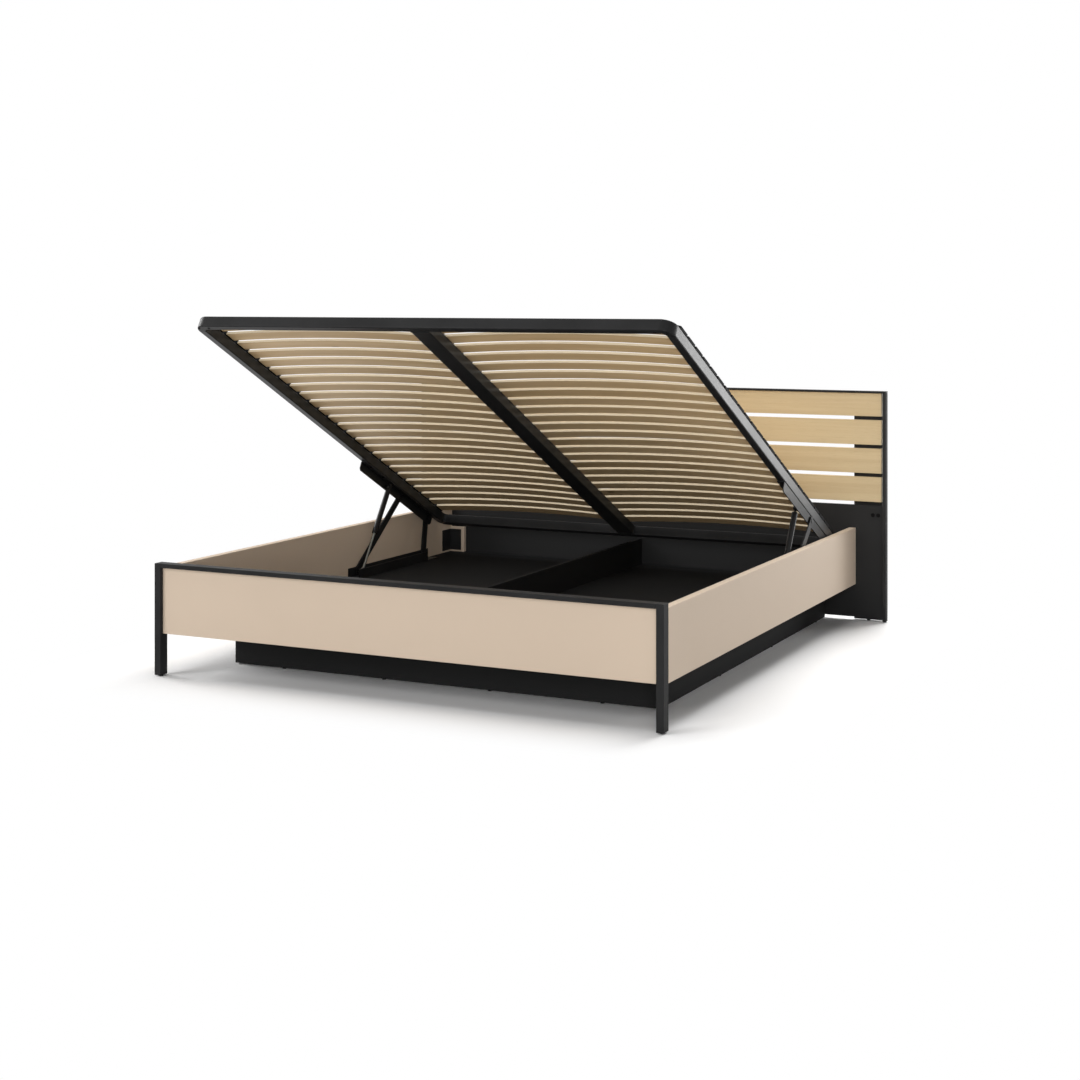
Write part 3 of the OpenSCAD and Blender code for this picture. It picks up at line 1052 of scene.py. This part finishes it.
SOFTBOXES = (
    Softbox("top_softbox", (-0.5, -0.2, 5.2), (0.0, 0.0, 0.0), 5.0, 158.0),
    Softbox("front_left_softbox", (-3.6, -6.0, 3.4), (0.0, 0.0, 0.3), 3.0, 172.0),
    Softbox("front_right_softbox", (4.8, -6.0, 3.2), (0.0, 0.0, 0.3), 3.0, 42.0),
    Softbox("left_softbox", (-6.5, 0.0, 3.0), (0.0, 0.0, 0.3), 3.0, 233.0),
    Softbox("back_top_softbox", (0.8, 3.6, 4.8), (0.0, 0.0, 0.3), 3.0, 314.0),
    Softbox("camera_softbox", (3.2, -6.4, 1.5), (0.0, 0.6, 0.4), 1.6, 114.0),
    Softbox("near_right_softbox", (2.6, 3.3, 0.8), (0.9, 0.0, 0.8), 1.2, 38.0),
)


@dataclass
class Studio:
    """Camera, floor and lights. The camera was fitted to the edges of the bed."""

    camera_at: Triple = (2.8924, -5.9303, 1.2993)
    camera_turn: float = 0.451
    camera_reach: float = 200.0
    focal_px: float = 1763.4
    horizon_px: float = 297.85
    image_px: int = 1080
    sensor_mm: float = 36.0
    floor_half: float = 30.0
    floor_bounce: Colour = (0.80, 0.80, 0.80)
    footprint: Pair = (1.065, 1.056)
    floor_fade: Pair = (-0.01, 0.34)
    world_fill: float = 0.01

    def camera(self) -> None:
        """Places the camera level, turned to the left of +Y, with the frame shifted down."""
        data = bpy.data.cameras.new("camera")
        data.sensor_width = self.sensor_mm
        data.lens = self.focal_px / self.image_px * self.sensor_mm
        data.shift_y = -(self.image_px / 2 - self.horizon_px) / self.image_px
        data.clip_end = self.camera_reach
        camera = add_object("camera", data)
        camera.location = self.camera_at
        camera.rotation_euler = (math.pi / 2, 0, self.camera_turn)
        bpy.context.scene.camera = camera

    def floor(self) -> None:
        """A plain floor that lights the bed as pale grey. Rays that show it meet white with the
        bed's shadow near the bed, and plain white away from it: distance = length of
        (|x| - half x, |y| - half y), each at least 0, less how deep the place is inside the
        footprint."""
        h = self.floor_half
        shell = Shell()
        shell.add(np.array([(-h, -h, 0), (h, -h, 0), (h, h, 0), (-h, h, 0)]), [(0, 1, 2, 3)])
        floor = shell.make("floor")
        g = Graph.of_material("floor_white")
        grey = g.node("ShaderNodeBsdfDiffuse", inputs={"Color": self.floor_bounce})
        shadowed = g.node("ShaderNodeBsdfDiffuse", inputs={"Color": WHITE})
        white = g.node("ShaderNodeEmission", inputs={"Color": WHITE, "Strength": 1.0})
        split = g.node("ShaderNodeSeparateXYZ", inputs={0: g.place(1.0)})
        past_x, past_y = (
            abs(Value(g, split.outputs[axis])) - half for axis, half in enumerate(self.footprint)
        )
        out_x, out_y = past_x.at_least(0.0), past_y.at_least(0.0)
        inside = past_x.at_least(past_y).at_most(0.0)
        distance = (out_x * out_x + out_y * out_y).root() + inside
        shown = g.between(distance.smooth(*self.floor_fade), shadowed, white)
        floor.data.materials.append(g.end(g.between(g.seen(), grey, shown)))

    def world(self) -> None:
        """White where it is seen, and a soft fill as light."""
        g = Graph(bpy.data.worlds.new("studio"))
        fill, white = (
            g.node("ShaderNodeBackground", inputs={"Color": WHITE, "Strength": strength})
            for strength in (self.world_fill, 1.0)
        )
        bpy.context.scene.world = g.end(g.between(g.seen(), fill, white))

    def build(self) -> None:
        """Builds the whole studio."""
        self.camera()
        self.world()
        self.floor()
        for softbox in SOFTBOXES:
            softbox.build()


# ------------------------------------------------------------------- lifting base


@dataclass
class RaisedBase:
    """The raised base's own directions. A point on it is given by x, its distance s from the
    head edge and its height n over the tubes' upper face."""

    head_y: float = 0.9077
    head_z: float = 0.3337
    lift_deg: float = 26.8

    def __post_init__(self) -> None:
        """Works out the directions: s runs to the foot and rises, n is square to it."""
        lift = math.radians(self.lift_deg)
        self.origin = np.array([0.0, self.head_y, self.head_z])
        self.x_way = np.array([1.0, 0, 0])
        self.s_way = np.array([0.0, -math.cos(lift), math.sin(lift)])
        self.n_way = np.array([0.0, math.sin(lift), math.cos(lift)])

    def point(self, x: Array | float, s: Array | float, n: Array | float) -> Array:
        """Places in the frame: origin + x, s and n times their ways.

        Args:
            x: Distance across the bed.
            s: Distance from the head edge.
            n: Height over the tubes' upper face.

        Returns:
            Places whose last axis is X, Y and Z.
        """
        x, s, n = (each[..., None] for each in np.broadcast_arrays(x, s, n))
        return self.origin + x * self.x_way + s * self.s_way + n * self.n_way

    def local(self, points: Array) -> tuple[Array, Array, Array]:
        """The x, s and n of places in the frame: the reverse of point."""
        offset = points - self.origin
        return offset @ self.x_way, offset @ self.s_way, offset @ self.n_way


@dataclass
class LiftFrame:
    """Tubes of the lifting base, their welds and screws."""

    base: RaisedBase
    body: str = "lift_base"
    half: float = 0.900
    length: float = 2.000
    tube_w: float = 0.030
    tube_h: float = 0.040
    centre_w: float = 0.070
    bend: float = 0.045
    bend_steps: int = 12
    edge: float = 0.004
    bead: float = 0.0044
    bead_edge: float = 0.0020
    bead_off: float = 0.001
    bead_wobble: float = 0.18
    bead_beat: float = 2.1
    screw_insets: Pair = (0.018, 0.060)
    screw_steps: int = 16
    screw_head: tuple[Pair, ...] = (
        (0.0, -0.0004),
        (0.0022, -0.0004),
        (0.0034, 0.0009),
        (0.0046, 0.0012),
        (0.0046, 0.0),
    )

    def end_tube(self, name: str, node: str, at_foot: bool) -> None:
        """A straight tube with a bend at both ends: the path is a quarter circle, a straight
        and a quarter circle, and the outline is a rounded rectangle. On a quarter circle,
        (x, s) = its centre + radius * outward direction.

        Args:
            name: Name of the piece.
            node: The CAD node that it replaces.
            at_foot: Whether it is the tube at the foot.
        """
        radius = self.bend - self.tube_w / 2
        turn = np.linspace(0, math.pi / 2, self.bend_steps + 1)
        out_x = np.concatenate([-np.cos(turn), np.cos(turn[::-1])])
        out_s = -np.concatenate([np.sin(turn), np.sin(turn[::-1])])
        x = radius * out_x + np.repeat([-1, 1], turn.size) * (self.half - self.bend)
        s = self.bend + radius * out_s
        if at_foot:
            s, out_s = self.length - s, -out_s
        across = out_x[:, None] * self.base.x_way + out_s[:, None] * self.base.s_way
        centres = self.base.point(x, s, -self.tube_h / 2)
        outline = rounded_rectangle(self.tube_w, self.tube_h, self.edge)
        shell = Shell()
        shell.sweep(outline, centres, across, self.base.n_way)
        settle(keep_flat(shell.make(name)), POWDER_COAT, Slot.BLACK_STEEL, self.body, node)

    def long_tube(self, name: str, node: str, x: float, width: float, inset: float) -> None:
        """A straight tube along s: a rounded rectangle carried along a line.

        Args:
            name: Name of the piece.
            node: The CAD node that it replaces.
            x: Place of its middle across the bed.
            width: Its width.
            inset: Distance of both ends from the base's edges.
        """
        ends = np.array([inset, self.length - inset])
        centres = self.base.point(x, ends, -self.tube_h / 2)
        outline = rounded_rectangle(width, self.tube_h, self.edge)
        shell = Shell()
        shell.sweep(outline, centres, self.base.x_way, self.base.n_way)
        settle(keep_flat(shell.make(name)), RAIL_COAT, Slot.BLACK_STEEL, self.body, node)

    def weld(self, name: str, at_foot: bool) -> None:
        """A weld bead round an end of the centre rail: a thin rope along its outline, whose
        width is 1 + wobble * sin(beat * i) times the bead's at point i.

        Args:
            name: Name of the piece.
            at_foot: Whether it is the bead at the foot.
        """
        ring = rounded_rectangle(self.centre_w, self.tube_h, self.edge, steps=3)
        off = self.tube_w + self.bead_off
        s = self.length - off if at_foot else off
        centres = self.base.point(ring[:, 0], s, ring[:, 1] - self.tube_h / 2)
        outward = ring / np.linalg.norm(ring, axis=1)[:, None]
        across = outward[:, :1] * self.base.x_way + outward[:, 1:] * self.base.n_way
        wobble = 1 + self.bead_wobble * np.sin(np.arange(len(ring)) * self.bead_beat)
        outline = rounded_rectangle(self.bead, self.bead, self.bead_edge, steps=2)
        shell = Shell()
        shell.sweep(outline, centres, across * wobble[:, None], self.base.s_way, closed=True)
        settle(shell.make(name), POWDER_COAT, Slot.BLACK_STEEL, self.body)

    def screws(self) -> None:
        """Small screws on the foot tube's underside: a head's profile turned about n."""
        shell = Shell()
        for side in Side:
            for inset in self.screw_insets:
                x = side.value * (self.half - inset)
                centre = self.base.point(x, self.length - self.tube_w / 2, -self.tube_h)
                shell.lathe(self.screw_head, centre, -self.base.n_way, self.screw_steps)
        settle(shell.make("foot_tube_screws"), PLASTIC, Slot.BLACK_STEEL, self.body)

    def build(self) -> None:
        """Builds every tube, then the welds and screws."""
        self.end_tube("foot_tube", "lift_foot_tube", at_foot=True)
        self.end_tube("head_tube", "lift_head_tube", at_foot=False)
        for side in Side:
            x = side.value * (self.half - self.tube_w / 2)
            name, node = f"side_rail_{side.word}", f"lift_rail_{side.word}"
            self.long_tube(name, node, x, self.tube_w, self.bend)
        self.long_tube("centre_rail", "lift_centre_rail", 0.0, self.centre_w, self.tube_w)
        self.weld("centre_weld_foot", at_foot=True)
        self.weld("centre_weld_head", at_foot=False)
        self.screws()


@dataclass
class Slats:
    """Two columns of bowed slats and their holders."""

    base: RaisedBase
    body: str = "lift_base"
    count: int = 25
    pitch: float = 0.075
    first: float = 0.0955
    width: float = 0.0535
    thick: float = 0.0085
    bow: float = 0.016
    seat: float = 0.00175
    inner: float = 0.005
    outer: float = 0.884
    edge: float = 0.0007
    steps: int = 28
    seed: int = 11
    holder_edge: float = 0.0008
    lip_from: float = 0.8955
    lip_x: float = 0.8996
    lip_n: float = 0.0112

    def column(self, side: Side) -> None:
        """One column of slats. Each slat's middle line is an arc: x = middle + r sin t,
        n = top - r (1 - cos t), and its outline is a rounded rectangle.

        Args:
            side: The side of the bed.
        """
        chord = self.outer - self.inner
        radius = (chord**2 / 4 + self.bow**2) / (2 * self.bow) + self.thick / 2
        half_turn = math.asin(chord / 2 / (radius - self.thick / 2))
        turn = np.linspace(-half_turn, half_turn, self.steps + 1)
        x = side.value * (self.inner + self.outer) / 2 + radius * np.sin(turn)
        top = self.seat + self.bow + self.thick / 2
        n = top - radius * (1 - np.cos(turn))
        up = np.sin(turn)[:, None] * self.base.x_way + np.cos(turn)[:, None] * self.base.n_way
        outline = rounded_rectangle(self.width, self.thick, self.edge, steps=3)
        over = outline[:, 0] / (self.width / 2)
        ply = outline[:, 1] / self.thick + 0.5
        draw = np.random.default_rng(self.seed + side.value)
        shell = Shell()
        for k in range(self.count):
            centres = self.base.point(x, self.first + k * self.pitch, n)
            numbers = {"over": over, "ply": ply, "seed": np.array(draw.random())}
            shell.sweep(outline, centres, -self.base.s_way, up, **numbers)
        piece = keep_flat(shell.make(f"slat_column_{side.word}"))
        settle(piece, SLAT, Slot.SLAT_WOOD, self.body, f"slats_{side.word}")

    def lipped(self, points: Array) -> Array:
        """Gives the outer holders a lip to the rail's outer face. In the base's directions,
        points past lip_from go out to lip_x, and the upper ones of them rise to lip_n.

        Args:
            points: A holder node's points.

        Returns:
            The same points, moved.
        """
        x, s, n = self.base.local(points)
        lip = np.abs(x) > self.lip_from
        n = np.where(lip & (n > self.lip_n / 2), self.lip_n, n)
        x = np.where(lip, np.sign(x) * self.lip_x, x)
        return self.base.point(x, s, n)

    def holders(self, place: str, reshape: Callable[[Array], Array] | None = None) -> None:
        """One row of holders, their edges eased in one step."""
        node = f"slat_holders_{place}"
        eased_copy(node, PLASTIC, Slot.BLACK_PLASTIC, self.holder_edge, steps=1, reshape=reshape)

    def build(self) -> None:
        """Builds both columns and the holders."""
        for side in Side:
            self.column(side)
            self.holders(side.word, self.lipped)
        self.holders("centre")


# -------------------------------------------------------------------- bed parts


@dataclass
class FootFrame:
    """Front legs, the rail between them and the panel under it. Its sizes are the widths of
    the eased edges, here and in the classes that follow."""

    steel_edge: float = 0.0018
    panel_edge: float = 0.0012

    def build(self) -> None:
        """Builds the foot frame."""
        for node in ("foot_leg_left", "foot_leg_right", "foot_top_rail"):
            board(node, FRAME_COAT, Slot.BLACK_STEEL, self.steel_edge)
        board("foot_panel", BEIGE, Slot.BEIGE_BOARD, self.panel_edge)


@dataclass
class BedSides:
    """Side panels with the blocks and brackets that join them to the headboard."""

    panel_edge: float = 0.0015
    block_edge: float = 0.0012
    bracket_edge: float = 0.0007
    pad_edge: float = 0.0010

    def bracket(self, node: str) -> None:
        """A bracket of folded steel."""
        eased_copy(node, POWDER_COAT, Slot.BLACK_STEEL, self.bracket_edge)

    def build(self) -> None:
        """Builds both sides."""
        for side in Side:
            board(f"side_panel_{side.word}", BEIGE, Slot.BEIGE_BOARD, self.panel_edge)
            board(f"corner_return_{side.word}", BEIGE, Slot.BEIGE_BOARD, self.block_edge)
            self.bracket(f"corner_bracket_{side.word}")
        self.bracket("foot_corner_brackets")
        self.bracket("rest_brackets")
        eased_copy("rest_pads", PLASTIC, Slot.BLACK_PLASTIC, self.pad_edge)


@dataclass
class StorageTray:
    """Floor boards, divider and the plinth under them."""

    board_edge: float = 0.0010
    glide_edge: float = 0.0008

    def build(self) -> None:
        """Builds the tray."""
        for node in ("storage_floor_left", "storage_floor_right", "storage_divider"):
            board(node, TRAY, Slot.BLACK_BOARD, self.board_edge)
        for node in ("plinth_front", "plinth_side_left", "plinth_side_right", "plinth_centre"):
            board(node, PLINTH, Slot.BLACK_BOARD, self.board_edge)
        eased_copy("glides", PLASTIC, Slot.BLACK_PLASTIC, self.glide_edge)


@dataclass
class Headboard:
    """Planks in their thin frame, the lower panel and the uprights behind."""

    planks: int = 4
    plank_edge: float = 0.0014
    frame_edge: float = 0.0012
    cap_edge: float = 0.0005

    def build(self) -> None:
        """Builds the headboard."""
        for k in range(self.planks):
            board(f"headboard_plank_{k + 1}", OAK, Slot.OAK_PLANK, self.plank_edge)
        for side in Side:
            post, upright = f"headboard_post_{side.word}", f"headboard_upright_{side.word}"
            board(post, POST_COAT, Slot.BLACK_STEEL, self.frame_edge)
            board(upright, BLACK, Slot.BLACK_BOARD, self.frame_edge)
        board("headboard_top_rail", FRAME_COAT, Slot.BLACK_STEEL, self.frame_edge)
        board("headboard_lower_panel", BLACK, Slot.BLACK_BOARD, self.frame_edge)
        eased_copy("headboard_cover_caps", CAP_PLASTIC, Slot.BLACK_PLASTIC, self.cap_edge)


@dataclass
class Mechanism:
    """Links, brackets, gas springs and pins of one side."""

    side: Side
    edge: float = 0.0006

    def build(self) -> None:
        """Builds one side's mechanism."""
        dressed = {
            "base_channel": (POWDER_COAT, Slot.BLACK_STEEL),
            "upper_bracket": (POWDER_COAT, Slot.BLACK_STEEL),
            "front_link": (POWDER_COAT, Slot.BLACK_STEEL),
            "rear_link": (POWDER_COAT, Slot.BLACK_STEEL),
            "base_pins": (BLACKENED, Slot.BRIGHT_STEEL),
            "frame_pins": (BLACKENED, Slot.BRIGHT_STEEL),
            "gas_cylinder": (GAS_PAINT, Slot.BLACK_STEEL),
            "gas_rod": (ROD, Slot.BRIGHT_STEEL),
        }
        for node, (finish, slot) in dressed.items():
            eased_copy(f"{node}_{self.side.word}", finish, slot, self.edge)


@dataclass
class Bolts:
    """Bolts that hold the upper brackets of both sides to the base."""

    edge: float = 0.0006

    def build(self) -> None:
        """Builds the bolts."""
        eased_copy("bracket_bolts", BLACKENED, Slot.BRIGHT_STEEL, self.edge)


def main() -> None:
    """Builds the studio and then the bed, assembly by assembly."""
    logging.basicConfig(level=logging.INFO, format="%(name)s: %(message)s")
    Studio().build()
    bpy.context.scene.view_settings.view_transform = "Standard"
    base = RaisedBase()
    assemblies = [
        FootFrame(),
        BedSides(),
        StorageTray(),
        Headboard(),
        LiftFrame(base),
        Slats(base),
        *(Mechanism(side) for side in Side),
        Bolts(),
    ]
    for assembly in assemblies:
        assembly.build()


if __name__ == "__main__":
    main()
